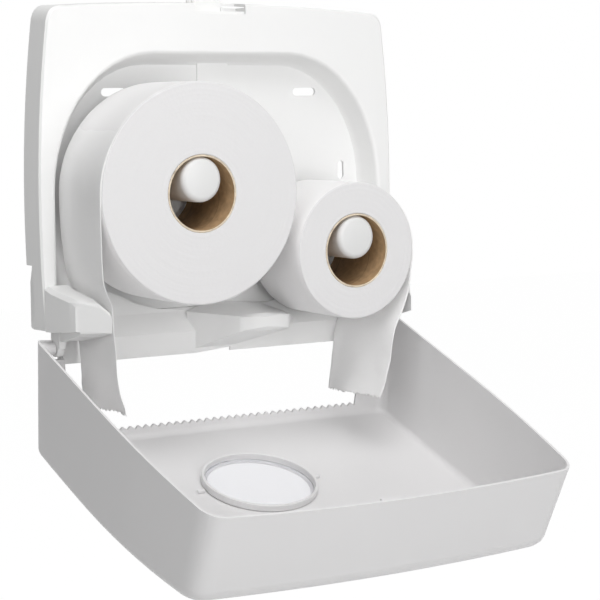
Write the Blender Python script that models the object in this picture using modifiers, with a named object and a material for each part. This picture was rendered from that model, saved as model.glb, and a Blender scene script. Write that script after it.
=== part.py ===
"""Twin toilet roll dispenser for a wall, standing open with both rolls loaded.

X runs to the right, the wall is the plane y = 0 and the front faces -Y. Heights are
written from the lower edge of the paper guide. One empty carries the whole model, so that
the world's origin is the middle of the face that lies on the wall. The cover's pieces are
drawn shut, and an empty on the hinge axis swings them down.
"""
import math

import bmesh
import bpy
from mathutils import Matrix, Vector

# Whole dispenser
wall_face_height = 0.190
touch_gap = 0.0003
overrun = 0.010
widest_height = 0.170
cover_opening = math.radians(110.7)

# Rolls, their cores and the posts that they hang on
roll_back = 0.0175
roll_width = 0.0975
roll_edge_round = 0.0015
core_outer_radius = 0.040
core_wall = 0.002
left_roll_radius = 0.1148
left_roll_lift = 0.0638
right_roll_radius = 0.074
right_roll_lift = 0.0375
roll_gap = 0.0132
left_side_gap = 0.0127
right_side_gap = 0.016
post_radius = 0.0235
post_tip_round = 0.006
post_wall = 0.003
post_flange_radius = 0.036
post_flange_thickness = 0.004
post_shoulder_radius = 0.0275
post_shoulder_length = 0.014
post_screw_count = 3
screw_shank_radius = 0.0017
screw_head_radius = 0.0028
screw_head_height = 0.0022
screw_hole_radius = 0.0021
screw_tip_gap = 0.0005

left_roll_height = left_roll_lift + left_roll_radius
right_roll_height = right_roll_lift + right_roll_radius
roll_centre_distance = left_roll_radius + roll_gap + right_roll_radius
roll_centre_drop = left_roll_height - right_roll_height
roll_centre_across = math.sqrt(roll_centre_distance ** 2 - roll_centre_drop ** 2)

# Recess that takes the rolls
recess_half_width = (
    left_side_gap + left_roll_radius + roll_centre_across + right_roll_radius + right_side_gap
) / 2
left_roll_place = left_side_gap + left_roll_radius - recess_half_width
right_roll_place = recess_half_width - right_side_gap - right_roll_radius
recess_top_gap = 0.0326
recess_high = left_roll_height + left_roll_radius + recess_top_gap
recess_low = 0.050
recess_shoulder = left_roll_height
recess_flat_reach = 0.0075
recess_flat_half = recess_flat_reach - left_roll_place
recess_low_corner = 0.005
recess_lean = 0.014
recess_edge_round = 0.005
recess_rim_lean = 0.004
recess_round_steps = 3
recess_foot = 0.005
recess_foot_lean = 0.005

# Back plate: a shallow tray with a raised band round the recess
plate_side_band = 0.019
plate_top_band = 0.053
plate_half_width = recess_half_width + plate_side_band
plate_low = 0.037
plate_high = recess_high + plate_top_band
plate_depth = 0.029
plate_wall = 0.003
plate_side_lean = 0.004
plate_top_lean = 0.002
plate_side_bow = 0.0144
plate_low_bow = 0.0048
plate_top_bow = 0.0085
plate_low_corner = 0.006
plate_high_corner = 0.015
plate_edge_round = 0.002
plate_step_high = 0.105
plate_step_depth = 0.010
plate_step_inset = 0.005
leg_width = 0.020
leg_inner = recess_half_width - leg_width

rib_half_width = 0.019
rib_length = 0.076
rib_low = recess_high - rib_length
rib_height = 0.002
rib_roof_share = 0.5

level_slot_inset = 0.085
level_slot_drop = 0.043
level_slot_place = recess_half_width - level_slot_inset
level_slot_height = recess_high - level_slot_drop
level_slot_length = 0.030
level_slot_width = 0.009
upright_slot_inset = 0.036
upright_slot_rise = 0.0159
upright_slot_place = recess_half_width - upright_slot_inset
upright_slot_height = left_roll_height + upright_slot_rise
upright_slot_length = 0.021
upright_slot_width = 0.008

# Lock: a notch in the plate's top edge, with a sprung latch behind it
notch_middle = -0.003
notch_width = 0.0625
notch_depth = 0.013
notch_low = plate_high - notch_depth
notch_back = 0.005
housing_drop = 0.047
housing_top_drop = 0.0059
housing_sill_drop = 0.010
housing_low = plate_high - housing_drop
housing_high = plate_high - housing_top_drop
housing_sill = plate_high - housing_sill_drop
housing_side = 0.0045
housing_wall = 0.0022
housing_floor = 0.008
housing_back_gap = 0.0053
latch_width = 0.034
latch_drop = 0.027
latch_trough_drop = 0.002
latch_rise = 0.002
latch_low = plate_high - latch_drop
latch_trough = plate_high - latch_trough_drop
latch_high = plate_high + latch_rise
latch_nose_width = 0.0028
latch_button_width = 0.0038
latch_running_gap = 0.0004
side_pocket_depth = 0.011
lug_thickness = 0.003
lug_length = 0.023
lug_clearance = 0.0007
lug_lift = 0.0009
spring_radius = 0.004
spring_wire = 0.0005
spring_turns = 6
spring_points_per_turn = 10

# Paper guide across the bottom
guide_end_reach = 0.005
guide_half_width = leg_inner + guide_end_reach
guide_skirt_front = 0.0125
guide_crease_front = 0.016
guide_crease_height = 0.025
guide_wall = 0.0026
guide_brow_front = 0.0056
guide_back_low = 0.004
guide_notch_left = -0.029
guide_notch_right = 0.014
guide_notch_height = 0.004
cradle_thickness = 0.004
cradle_low = 0.040
cradle_end_gap = 0.004
cradle_end = leg_inner - cradle_end_gap
guide_screw_inset = 0.030
guide_screw_place = cradle_end - guide_screw_inset
guide_screw_height = 0.064
cradle_top_shares = (
    (0.10, 0.000), (0.22, 0.000), (0.40, 0.105), (0.57, 0.370), (0.62, 0.555),
    (0.72, 0.770), (0.88, 0.930), (1.00, 1.000),
)

# Nose on the guide, between the two rolls, that parts the two tails
nose_back = 0.0105
nose_front = 0.060
nose_length = 0.150
nose_height = 0.056
nose_left_reach = 0.0833
nose_left = left_roll_place + left_roll_radius - nose_left_reach
nose_front_round = 0.0035
nose_middle_shares = (0.510, 0.607)
nose_depth_shares = (0, 0.35, 0.70, 0.93, 1)
nose_back_shares = (
    (0.085, 0.082), (0.035, 0.820), (0.247, 1.000), (0.633, 0.911), (0.867, 0.696),
    (0.960, 0.518), (0.900, 0.330), (0.420, 0.090),
)
nose_front_shares = (
    (0.307, 0.464), (0.313, 0.750), (0.380, 0.768), (0.520, 0.775), (0.647, 0.772),
    (0.710, 0.750), (0.713, 0.464), (0.513, 0.462),
)

# Guide arms on both sides, with the hinge lugs under them
arm_step_inset = 0.001
arm_step_place = recess_half_width - arm_step_inset
left_arm_inset = 0.0225
right_arm_inset = 0.017
left_arm_inner = recess_half_width - left_arm_inset
right_arm_inner = recess_half_width - right_arm_inset
arm_band_reach = 0.0115
arm_outer = recess_half_width + arm_band_reach
arm_outer_length = 0.0552
arm_inner_length = 0.0842
arm_root_high = 0.085
arm_root_step = 0.0375
arm_root_low = 0.027
arm_high_fall = 0.019
arm_step_rise = 0.0055
arm_low_rise = 0.0148
arm_outer_draw = 0.012
arm_section_shares = (
    (0.00, 0.00, 0.00, 0.00, 0.00), (0.21, 0.21, 0.05, 0.08, 0.15), (0.78, 0.53, 0.58, 0.66, 0.55),
    (0.95, 0.74, 0.79, 0.92, 0.75), (1.00, 1.00, 1.00, 1.00, 1.00),
)
arm_top_chamfer = 0.004
arm_inner_chamfer_width = 0.008
arm_inner_chamfer_height = 0.009
arm_block_low = 0.054
arm_block_high = 0.079
lug_width = 0.0075
lug_side_gap = 0.0005
lug_outer = recess_half_width - lug_side_gap
lug_inner = lug_outer - lug_width
hinge_forward = 0.0237
hinge_height = 0.019
hinge_lug_radius = 0.009
hinge_stem_front = 0.036
hinge_stem_back = 0.016
pin_radius = 0.003
pin_play = 0.0004
pin_reach = 0.0035
upper_screw_reach = 0.0061
upper_screw_height = 0.070
lower_screw_inset = 0.0105
lower_screw_height = 0.0435
arm_screw_places = (
    (recess_half_width + upper_screw_reach, upper_screw_height),
    (recess_half_width - lower_screw_inset, lower_screw_height),
)

# Cover: a deep tray, open below for the paper
cover_wall = 0.0026
cover_rim_back = 0.014
cover_side_clearance = 0.0013
cover_top_clearance = 0.0073
cover_low = 0.009
cover_side_bow = 0.014
cover_low_bow = 0.0005
cover_top_bow = 0.012
cover_low_corner = 0.016
cover_high_corner = 0.022
cover_heel_round = 0.0105
cover_side_draft_share = 0.02
cover_top_draft_share = 0.08
cover_low_draft_share = 0.29
cover_low_depth = 0.116
cover_high_depth = 0.101
cover_crown_power_share = 2.4
cover_edge_round = 0.008
cover_top_round = 0.022
mouth_depth = 0.104
mouth_front_inset = 0.024
mouth_rim_inset = 0.012
mouth_front_half = recess_half_width - mouth_front_inset
mouth_rim_half = recess_half_width - mouth_rim_inset
mouth_notch_outer = recess_half_width
mouth_notch_depth = 0.024
tooth_pitch = 0.0095
tooth_height = 0.003
tooth_shares = ((0.00, 0), (0.50, 1), (0.68, 1))
ear_radius = 0.0065
ear_gap = 0.0006
ear_inner = lug_outer + ear_gap

# Window in the front of the cover
window_place = -0.019
window_height = 0.167
window_hole_radius = 0.062
window_round_share = 0.90
window_ring_lip = 0.0017
window_ring_radius = window_hole_radius + window_ring_lip
window_ring_wall = 0.0032
window_ring_inner = window_ring_radius - window_ring_wall
window_ring_height = 0.008
window_ledge_width = 0.004
window_ledge_radius = window_ring_inner - window_ledge_width
window_ledge_thickness = 0.0018
window_pane_thickness = 0.002
window_foot_gap = 0.0010

# Paper tails
tail_thickness = 0.0008
tail_side_gap = 0.0008
tail_roll_gap = 0.0007
tail_fold_depth = 0.0022
tail_columns = 14
tail_tear_depth = 0.003
left_tail_drift = 0.0265
left_tail_end = -0.042
right_tail_drift = 0.0510
right_tail_end = -0.052
tail_turn_height = arm_root_high

# Each row: how far down, back edge's drift, front edge's drift. 0 to 1 is the fall from the
# roll's axis to the arm's top, and 1 to 2 the fall from there to the torn end.
left_tail_shares = (
    (0.000, 0.000, 0.000), (0.306, 0.011, 0.000), (0.573, 0.094, 0.008), (0.776, 0.189, 0.030),
    (0.925, 0.309, 0.075), (1.039, 0.464, 0.225), (1.134, 0.464, 0.415), (1.236, 0.458, 0.440),
    (1.354, 0.585, 0.472), (1.512, 0.743, 0.547), (1.709, 0.785, 0.611), (1.890, 0.800, 0.830),
    (2.000, 0.811, 1.000),
)
right_tail_shares = (
    (0.000, 0.000, 0.000), (0.283, 0.004, 0.002), (0.585, 0.024, 0.016), (0.925, 0.063, 0.043),
    (1.073, 0.143, 0.065), (1.168, 0.290, 0.114), (1.314, 0.565, 0.271), (1.474, 0.761, 0.476),
    (1.708, 0.869, 0.584), (1.898, 0.957, 0.712), (2.000, 1.000, 0.829),
)

round_steps = 64
post_steps = 36
small_round_steps = 20
screw_steps = 8
low_points = 4
low_corner_points = 5
side_points = 12
high_corner_points = 11
top_points = 8


model = bpy.data.collections.new("twin_toilet_roll_dispenser")
cutters = bpy.data.collections.new("cutters")


def clear_scene():
    for item in list(bpy.data.objects):
        bpy.data.objects.remove(item)
    bpy.context.scene.collection.children.link(model)
    bpy.context.scene.collection.children.link(cutters)


def plastic(name, colour, roughness, metallic=0.0):
    material = bpy.data.materials.new(name)
    material.use_nodes = True
    shader = material.node_tree.nodes["Principled BSDF"]
    shader.inputs["Base Color"].default_value = (*colour, 1)
    shader.inputs["Roughness"].default_value = roughness
    shader.inputs["Metallic"].default_value = metallic
    return material


def make_object(name, shape, material, carrier, collection=model):
    mesh = bpy.data.meshes.new(name)
    bmesh.ops.recalc_face_normals(shape, faces=shape.faces)
    shape.to_mesh(mesh)
    shape.free()
    item = bpy.data.objects.new(name, mesh)
    collection.objects.link(item)
    item.parent = carrier
    if material:
        mesh.materials.append(material)
    mesh.shade_smooth()
    mesh.set_sharp_from_angle(angle=math.radians(35))
    return item


def make_cutter(name, shape, carrier):
    item = make_object(name, shape, None, carrier, cutters)
    item.hide_render = True
    item.display_type = "WIRE"
    return item


def combine(item, other, operation, solver="EXACT"):
    step = item.modifiers.new(other.name, "BOOLEAN")
    step.operation = operation
    step.object = other
    step.solver = solver


def cut(item, other, solver="EXACT"):
    combine(item, other, "DIFFERENCE", solver)


def join(item, other):
    combine(item, other, "UNION")


def box(low, high):
    """A box between two corners."""
    shape = bmesh.new()
    bmesh.ops.create_cube(shape, size=1)
    low, high = Vector(low), Vector(high)
    bmesh.ops.scale(shape, vec=high - low, verts=shape.verts)
    bmesh.ops.translate(shape, vec=(low + high) / 2, verts=shape.verts)
    return shape


def rod(start, end, radius, steps=small_round_steps):
    """A cylinder between two points on one line parallel to an axis."""
    start, end = Vector(start), Vector(end)
    run = end - start
    shape = bmesh.new()
    bmesh.ops.create_cone(
        shape, cap_ends=True, segments=steps, radius1=radius, radius2=radius, depth=run.length
    )
    turn = run.to_track_quat("Z", "Y").to_matrix().to_4x4()
    bmesh.ops.transform(shape, matrix=Matrix.Translation((start + end) / 2) @ turn, verts=shape.verts)
    return shape


def loft(rings, first_pole=None, last_pole=None):
    """A closed body through rings with equal counts, ended by flat faces or by poles."""
    shape = bmesh.new()
    loops = [[shape.verts.new(point) for point in ring] for ring in rings]
    for near, far in zip(loops, loops[1:]):
        for index, corner in enumerate(near):
            after = (index + 1) % len(near)
            shape.faces.new((corner, near[after], far[after], far[index]))
    for loop, pole in ((loops[0], first_pole), (loops[-1], last_pole)):
        if pole is None:
            shape.faces.new(loop)
            continue
        tip = shape.verts.new(pole)
        for index, corner in enumerate(loop):
            shape.faces.new((corner, loop[(index + 1) % len(loop)], tip))
    return shape


def prism(outline, back, front):
    """An outline of (x, z) points carried from one y to another."""
    return loft([[(x, back, z) for x, z in outline], [(x, front, z) for x, z in outline]])


def turned(name, profile, material, carrier, steps=round_steps, collection=model, close=True):
    """A profile of (radius, height) points, run down the outer side, turned round Z."""
    mesh = bpy.data.meshes.new(name)
    count = len(profile)
    edges = [(index, index + 1) for index in range(count - 1)]
    if close:
        edges.append((count - 1, 0))
    mesh.from_pydata([(radius, 0, height) for radius, height in profile], edges, [])
    item = bpy.data.objects.new(name, mesh)
    collection.objects.link(item)
    item.parent = carrier
    screw = item.modifiers.new("turn", "SCREW")
    screw.steps = steps
    screw.render_steps = steps
    screw.use_merge_vertices = True
    screw.merge_threshold = 0.00005
    if material:
        mesh.materials.append(material)
    return item


def arc(middle_x, middle_z, width, height, start, end, count):
    """Points on a quarter of an ellipse, without its first one."""
    points = []
    for step in range(1, count + 1):
        angle = start + (end - start) * step / count
        points.append((middle_x + width * math.cos(angle), middle_z + height * math.sin(angle)))
    return points


def straight(start, end, count):
    """Points on a line, without its first one."""
    return [
        (start[0] + (end[0] - start[0]) * step / count, start[1] + (end[1] - start[1]) * step / count)
        for step in range(1, count + 1)
    ]


def both_halves(half):
    """The whole ring from its right half, which runs from the lower middle to the upper one."""
    return half + [(-x, z) for x, z in reversed(half[1:-1])]


def bowed_outline(half_width, low, high, low_corner, high_corner, side_bow, low_bow, top_bow):
    """A rectangle with bowed sides and top, widest at one height."""

    def side(height):
        if height > widest_height:
            return half_width - side_bow * ((height - widest_height) / (high - widest_height)) ** 2
        return half_width - low_bow * ((widest_height - height) / (widest_height - low)) ** 2

    def top(across):
        return high - top_bow * (across / half_width) ** 2

    low_end = side(low + low_corner)
    half = [(0, low)]
    half += straight((0, low), (low_end - low_corner, low), low_points)
    half += arc(
        low_end - low_corner, low + low_corner, low_corner, low_corner, -math.pi / 2, 0, low_corner_points
    )
    shoulder = top(half_width) - high_corner
    for step in range(1, side_points + 1):
        height = low + low_corner + (shoulder - low - low_corner) * step / side_points
        half.append((side(height), height))
    start = (side(shoulder), shoulder)
    end = (start[0] - high_corner, top(start[0] - high_corner))
    bend = (side(end[1]), top(start[0]))
    for step in range(1, high_corner_points + 1):
        share = step / high_corner_points
        half.append(tuple(
            (1 - share) ** 2 * first + 2 * share * (1 - share) * middle + share ** 2 * last
            for first, middle, last in zip(start, bend, end)
        ))
    for step in range(1, top_points + 1):
        across = end[0] * (1 - step / top_points)
        half.append((across, top(across)))
    return both_halves(half)


def recess_outline(inset, low):
    """The recess: straight sides and top, joined by a quarter of an ellipse."""
    half_width = recess_half_width - inset
    high = recess_high - inset
    corner = recess_low_corner
    half = [(0, low)]
    half += straight((0, low), (half_width - corner, low), low_points)
    half += arc(half_width - corner, low + corner, corner, corner, -math.pi / 2, 0, low_corner_points)
    half += straight((half_width, low + corner), (half_width, recess_shoulder), side_points)
    half += arc(
        recess_flat_half, recess_shoulder, half_width - recess_flat_half, high - recess_shoulder,
        0, math.pi / 2, high_corner_points,
    )
    half += straight((recess_flat_half, high), (0, high), top_points)
    return both_halves(half)


def plate_outline(forward, inset):
    """The plate's outer side at a distance in front of the wall."""
    share = forward / plate_depth
    return bowed_outline(
        plate_half_width - plate_side_lean * share - inset, plate_low + inset,
        plate_high - plate_top_lean * share - inset, plate_low_corner, plate_high_corner,
        plate_side_bow, plate_low_bow, plate_top_bow,
    )


def at_depth(outline, forward):
    return [(x, -forward, z) for x, z in outline]


def build_back_plate(carrier, material):
    deep = plate_depth - plate_wall
    foot = plate_wall + recess_foot
    foot_inset = recess_lean - recess_foot_lean
    rim_inset = recess_rim_lean - plate_wall - recess_edge_round * (1 - math.sqrt(1 / 2))
    rings = [
        at_depth(recess_outline(recess_lean, recess_low), plate_wall),
        at_depth(recess_outline(foot_inset, recess_low), foot),
    ]
    for step in range(recess_round_steps + 1):
        angle = math.pi / 2 * step / recess_round_steps
        inset = recess_rim_lean - recess_edge_round * (1 - math.cos(angle))
        forward = plate_depth - recess_edge_round * (1 - math.sin(angle))
        rings.append(at_depth(recess_outline(inset, recess_low), forward))
    rings += [
        at_depth(plate_outline(plate_depth, plate_edge_round), plate_depth),
        at_depth(plate_outline(plate_depth, 0), plate_depth - plate_edge_round),
        at_depth(plate_outline(0, 0), 0),
        at_depth(plate_outline(0, plate_wall), 0),
        at_depth(plate_outline(plate_depth, plate_wall), deep),
        at_depth(recess_outline(rim_inset, recess_low - plate_wall), deep),
        at_depth(recess_outline(foot_inset - plate_wall, recess_low - plate_wall), foot),
        at_depth(recess_outline(recess_lean - plate_wall, recess_low - plate_wall), 0),
    ]
    plate = make_object("back_plate", loft(rings), material, carrier)
    rib = make_cutter("plate_rib", box(
        (-rib_half_width, -plate_wall - rib_height, rib_low),
        (rib_half_width, -plate_wall * rib_roof_share, recess_high - recess_foot - recess_foot_lean),
    ), carrier)
    join(plate, rib)
    cut(plate, make_cutter("plate_opening", box(
        (-leg_inner, -plate_depth - overrun, plate_low - overrun),
        (leg_inner, overrun, recess_low + touch_gap),
    ), carrier))
    cut(plate, make_cutter("lock_notch", box(
        (notch_middle - notch_width / 2, -plate_depth - overrun, notch_low),
        (notch_middle + notch_width / 2, -notch_back, plate_high + overrun),
    ), carrier))
    for side in (-1, 1):
        edge = side * (plate_half_width - plate_step_inset)
        far = side * (plate_half_width + overrun)
        cut(plate, make_cutter("plate_step_%d" % side, box(
            (min(edge, far), -plate_step_depth, plate_low - overrun),
            (max(edge, far), overrun, plate_step_high),
        ), carrier))
        for name, place, height, length, width in (
            ("level_slot", level_slot_place, level_slot_height, level_slot_length, level_slot_width),
            ("upright_slot", upright_slot_place, upright_slot_height,
             upright_slot_width, upright_slot_length),
        ):
            radius = min(length, width) / 2
            slot = []
            for quarter, (right, up) in enumerate(((1, 1), (-1, 1), (-1, -1), (1, -1))):
                start = quarter * math.pi / 2
                middle_x = side * place + right * (length / 2 - radius)
                middle_z = height + up * (width / 2 - radius)
                slot += arc(middle_x, middle_z, radius, radius, start, start + math.pi / 2, 4)
            cut(plate, make_cutter(
                "%s_%d" % (name, side), prism(slot, overrun, -plate_wall - recess_foot / 2), carrier
            ))
    return plate


def tilted_face_height(height):
    """How deep the cover's front lies at a height."""
    share = min(max((height - cover_low) / (cover_top() - cover_low), 0), 1)
    return cover_low_depth - (cover_low_depth - cover_high_depth) * share ** cover_crown_power_share


def plate_width_at_rim():
    return plate_half_width - plate_side_lean * cover_rim_back / plate_depth


def cover_top():
    lean = plate_top_lean * cover_rim_back / plate_depth
    return plate_high - lean + cover_top_clearance + cover_wall


def cover_outline(depth, skin):
    """The cover's section at a depth from its rim, set in by the skin."""
    half_width = plate_width_at_rim() + cover_side_clearance + cover_wall
    return bowed_outline(
        half_width - cover_side_draft_share * depth - skin,
        cover_low + cover_low_draft_share * depth + skin,
        cover_top() - cover_top_draft_share * depth - skin,
        cover_low_corner - skin, cover_high_corner - skin,
        cover_side_bow, cover_low_bow, cover_top_bow,
    )


def ear_outer():
    """How far out an ear runs: to the middle of the cover's side wall at the hinge."""
    depth = hinge_forward - cover_rim_back
    wall_x = max(
        x for x, z in cover_outline(depth, 0) if abs(z - hinge_height) < ear_radius / 2
    )
    return wall_x - cover_wall


def cover_point(x, z, depth):
    return (x, -cover_rim_back - depth, z)


def cover_skin(skin):
    """Rings of one side of the cover from its rim to near the middle of its front."""
    straight_depth = cover_high_depth - cover_top_round
    rings = [
        [cover_point(x, z, depth) for x, z in cover_outline(depth, skin)]
        for depth in (0, straight_depth / 2)
    ]
    deepest = cover_outline(cover_high_depth, skin)
    count = len(deepest)
    edge = []
    for step in range(5):
        angle = math.pi / 2 * step / 4
        ring = []
        for index, (x, z) in enumerate(deepest):
            before, after = deepest[index - 1], deepest[(index + 1) % count]
            along = Vector((after[0] - before[0], after[1] - before[1])).normalized()
            inward = Vector((-along.y, along.x))
            share = min(max((z - cover_low) / (cover_top() - cover_low), 0), 1)
            radius = cover_edge_round + (cover_top_round - cover_edge_round) * share ** 4 - skin
            front = tilted_face_height(z) - skin
            depth = front - radius * (1 - math.sin(angle))
            wall_x, wall_z = cover_outline(depth, skin)[index]
            inset = radius * (1 - math.cos(angle))
            ring.append(cover_point(wall_x + inward.x * inset, wall_z + inward.y * inset, depth))
        edge.append(ring)
    rings += edge
    middle = (cover_low + cover_top()) / 2
    for share in (0.8, 0.55, 0.3):
        ring = []
        for x, _, z in edge[-1]:
            height = middle + (z - middle) * share
            ring.append(cover_point(x * share, height, tilted_face_height(height) - skin))
        rings.append(ring)
    pole = cover_point(0, middle, tilted_face_height(middle) - skin)
    return rings, pole


def mouth_outline():
    """The open bottom of the cover, with the row of teeth along its front."""
    front = -cover_rim_back - mouth_depth
    notch = -cover_rim_back - mouth_notch_depth
    lean = (mouth_rim_half - mouth_front_half) * mouth_notch_depth / mouth_depth
    right = [
        (mouth_notch_outer, overrun), (mouth_notch_outer, notch), (mouth_rim_half - lean, notch),
    ]
    teeth = []
    count = round(2 * mouth_front_half / tooth_pitch)
    pitch = 2 * mouth_front_half / count
    for tooth in range(count):
        start = mouth_front_half - pitch * tooth
        for across_share, rise_share in tooth_shares:
            teeth.append((start - pitch * across_share, front + tooth_height * rise_share))
    teeth.append((-mouth_front_half, front))
    left = [(-x, y) for x, y in reversed(right)]
    return right + teeth + left


def window_frame():
    """Where the window's pieces stand: on the inner face of the front, square to it."""
    step = window_pane_thickness / 2
    slope = (tilted_face_height(window_height - step) - tilted_face_height(window_height + step))
    tilt = math.atan(slope / (2 * step))
    depth = tilted_face_height(window_height) - cover_wall
    place = Matrix.Translation(cover_point(window_place, window_height, depth))
    oval = Matrix.Diagonal((1, window_round_share, 1, 1))
    return place @ Matrix.Rotation(-math.pi / 2 - tilt, 4, "X") @ oval


def heel_shape():
    """What is taken off the corner where the cover's rim meets its low wall."""
    half = plate_half_width + overrun
    middle_y = -cover_rim_back - cover_heel_round
    middle_z = cover_low + cover_heel_round
    round_side = arc(
        middle_y, middle_z, cover_heel_round, cover_heel_round, 0, -math.pi / 2, low_corner_points
    )
    outline = [(middle_y + cover_heel_round, middle_z)] + round_side
    outline += [(middle_y, cover_low - overrun), (-cover_rim_back + overrun, cover_low - overrun)]
    outline.append((-cover_rim_back + overrun, middle_z))
    return loft([[(x, y, z) for y, z in outline] for x in (-half, half)])


def build_cover(carrier, white, clear):
    outer, outer_pole = cover_skin(0)
    inner, inner_pole = cover_skin(cover_wall)
    rings = list(reversed(outer)) + inner
    cover = make_object("cover_shell", loft(rings, outer_pole, inner_pole), white, carrier)
    mouth = [(x, y) for x, y in mouth_outline()]
    roof = cover_low + cover_low_draft_share * mouth_depth + 3 * cover_wall
    shape = loft([
        [(x, y, cover_low - overrun) for x, y in mouth],
        [(x, y, roof) for x, y in mouth],
    ])
    cut(cover, make_cutter("cover_mouth", shape, carrier))
    cut(cover, make_cutter("cover_heel", heel_shape(), carrier))
    hinge = (0, -hinge_forward, hinge_height)
    for side in (-1, 1):
        start = (side * ear_inner, hinge[1], hinge[2])
        end = (side * ear_outer(), hinge[1], hinge[2])
        join(cover, make_cutter("cover_ear_%d" % side, rod(start, end, ear_radius), carrier))
        start = (side * (ear_inner - overrun), hinge[1], hinge[2])
        end = (side * (ear_inner + pin_reach + touch_gap), hinge[1], hinge[2])
        cut(cover, make_cutter("ear_bore_%d" % side, rod(start, end, pin_radius + pin_play), carrier))
    latch_back = plate_depth - plate_wall - housing_wall - 2 * latch_running_gap
    lug_front = -(latch_back - latch_nose_width - lug_clearance)
    latch_left = notch_middle - notch_width / 2 + latch_running_gap
    lug_left = latch_left + (latch_width - lug_length) / 2
    lug_root = cover_top() - cover_wall / 2 - cover_top_bow / 8
    join(cover, make_cutter("catch_lug", box(
        (lug_left, lug_front, latch_trough + lug_lift),
        (lug_left + lug_length, lug_front + lug_thickness, lug_root),
    ), carrier))
    place = window_frame()
    hole = rod((0, 0, -overrun), (0, 0, overrun), window_hole_radius, round_steps)
    bmesh.ops.transform(hole, matrix=place, verts=hole.verts)
    cut(cover, make_cutter("window_hole", hole, carrier), "MANIFOLD")

    spigot = window_hole_radius - touch_gap
    ledge = -cover_wall + window_ledge_thickness
    ring = turned("window_ring", [
        (window_ring_radius, window_ring_height), (window_ring_radius, window_foot_gap),
        (spigot, window_foot_gap), (spigot, -cover_wall), (window_ledge_radius, -cover_wall),
        (window_ledge_radius, ledge), (window_ring_inner, ledge), (window_ring_inner, window_ring_height),
    ], white, carrier)
    pane_radius = window_ring_inner - touch_gap
    pane_low = ledge + touch_gap
    pane = turned("window_pane", [
        (0, pane_low + window_pane_thickness), (pane_radius, pane_low + window_pane_thickness),
        (pane_radius, pane_low), (0, pane_low),
    ], clear, carrier, close=False)
    for item in (ring, pane):
        item.matrix_local = item.matrix_local @ place
    return cover


def build_latch(carrier, white, grey, steel):
    """The housing behind the notch, the sprung latch in it and the latch's empty."""
    front = -(plate_depth - plate_wall - latch_running_gap)
    back = -housing_back_gap
    left = notch_middle - notch_width / 2 - housing_side
    right = notch_middle + notch_width / 2 + housing_side
    housing = make_object("latch_housing", box(
        (left, front, housing_low), (right, back, housing_high),
    ), white, carrier)
    pocket_left = notch_middle - notch_width / 2
    pocket_right = pocket_left + latch_width + 2 * latch_running_gap
    pocket_front = front + housing_wall
    pocket_back = back - housing_wall
    pocket_low = housing_low + housing_floor
    cut(housing, make_cutter("latch_pocket", box(
        (pocket_left, pocket_front, pocket_low), (pocket_right, pocket_back, housing_high + overrun),
    ), carrier))
    cut(housing, make_cutter("latch_sill", box(
        (pocket_left, front - overrun, housing_sill),
        (notch_middle + notch_width / 2, pocket_front + touch_gap, housing_high + overrun),
    ), carrier))
    cut(housing, make_cutter("side_pocket", box(
        (pocket_right + housing_wall, pocket_front, housing_high - side_pocket_depth),
        (notch_middle + notch_width / 2, pocket_back, housing_high + overrun),
    ), carrier))

    latch_left = pocket_left + latch_running_gap
    latch_front = pocket_front + latch_running_gap
    latch_rear = pocket_back - latch_running_gap
    latch = make_object("latch", box(
        (latch_left, latch_front, latch_low), (latch_left + latch_width, latch_rear, latch_trough),
    ), grey, carrier)
    join(latch, make_cutter("latch_nose", box(
        (latch_left, latch_front, latch_low + overrun),
        (latch_left + latch_width, latch_front + latch_nose_width, latch_high),
    ), carrier))
    join(latch, make_cutter("latch_button", box(
        (latch_left, latch_rear - latch_button_width, latch_low + overrun),
        (latch_left + latch_width, latch_rear, latch_high),
    ), carrier))

    spring = bpy.data.curves.new("latch_spring", "CURVE")
    spring.dimensions = "3D"
    spring.bevel_depth = spring_wire
    spring.bevel_resolution = 1
    spring.use_fill_caps = True
    low = pocket_low + spring_wire + touch_gap
    high = latch_low - spring_wire - touch_gap
    middle = (latch_left + latch_width / 2, (latch_front + latch_rear) / 2)
    count = spring_turns * spring_points_per_turn
    wire = spring.splines.new("POLY")
    wire.points.add(count)
    for index, point in enumerate(wire.points):
        angle = 2 * math.pi * index / spring_points_per_turn
        point.co = (
            middle[0] + spring_radius * math.cos(angle), middle[1] + spring_radius * math.sin(angle),
            low + (high - low) * index / count, 1,
        )
    item = bpy.data.objects.new("latch_spring", spring)
    model.objects.link(item)
    item.parent = carrier
    spring.materials.append(steel)


def build_post(name, place, height, carrier, white, steel):
    """A hollow post with a shoulder and a flange, held by screws through the flange."""
    hub = bpy.data.objects.new(name + "_place", None)
    model.objects.link(hub)
    hub.parent = carrier
    hub.location = (place, -plate_wall - touch_gap, height)
    hub.rotation_euler = (math.pi / 2, 0, 0)
    tip = roll_back + roll_width - plate_wall - touch_gap
    profile = [(0, tip)]
    for step in range(5):
        angle = math.pi / 2 * (1 - step / 4)
        inset = post_tip_round * (1 - math.cos(angle))
        profile.append((post_radius - inset, tip - post_tip_round * (1 - math.sin(angle))))
    profile += [
        (post_radius, post_shoulder_length), (post_shoulder_radius, post_shoulder_length),
        (post_shoulder_radius, post_flange_thickness), (post_flange_radius, post_flange_thickness),
        (post_flange_radius, 0), (post_radius - post_wall, 0),
        (post_radius - post_wall, tip - post_tip_round), (post_radius - post_tip_round, tip - post_wall),
        (0, tip - post_wall),
    ]
    post = turned(name, profile, white, hub, steps=post_steps, close=False)
    screws = []
    for index in range(post_screw_count):
        angle = math.pi / 2 + 2 * math.pi * index / post_screw_count
        reach = (post_flange_radius + post_shoulder_radius) / 2
        screws.append((reach * math.cos(angle), reach * math.sin(angle)))
    return post, hub, screws


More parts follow.
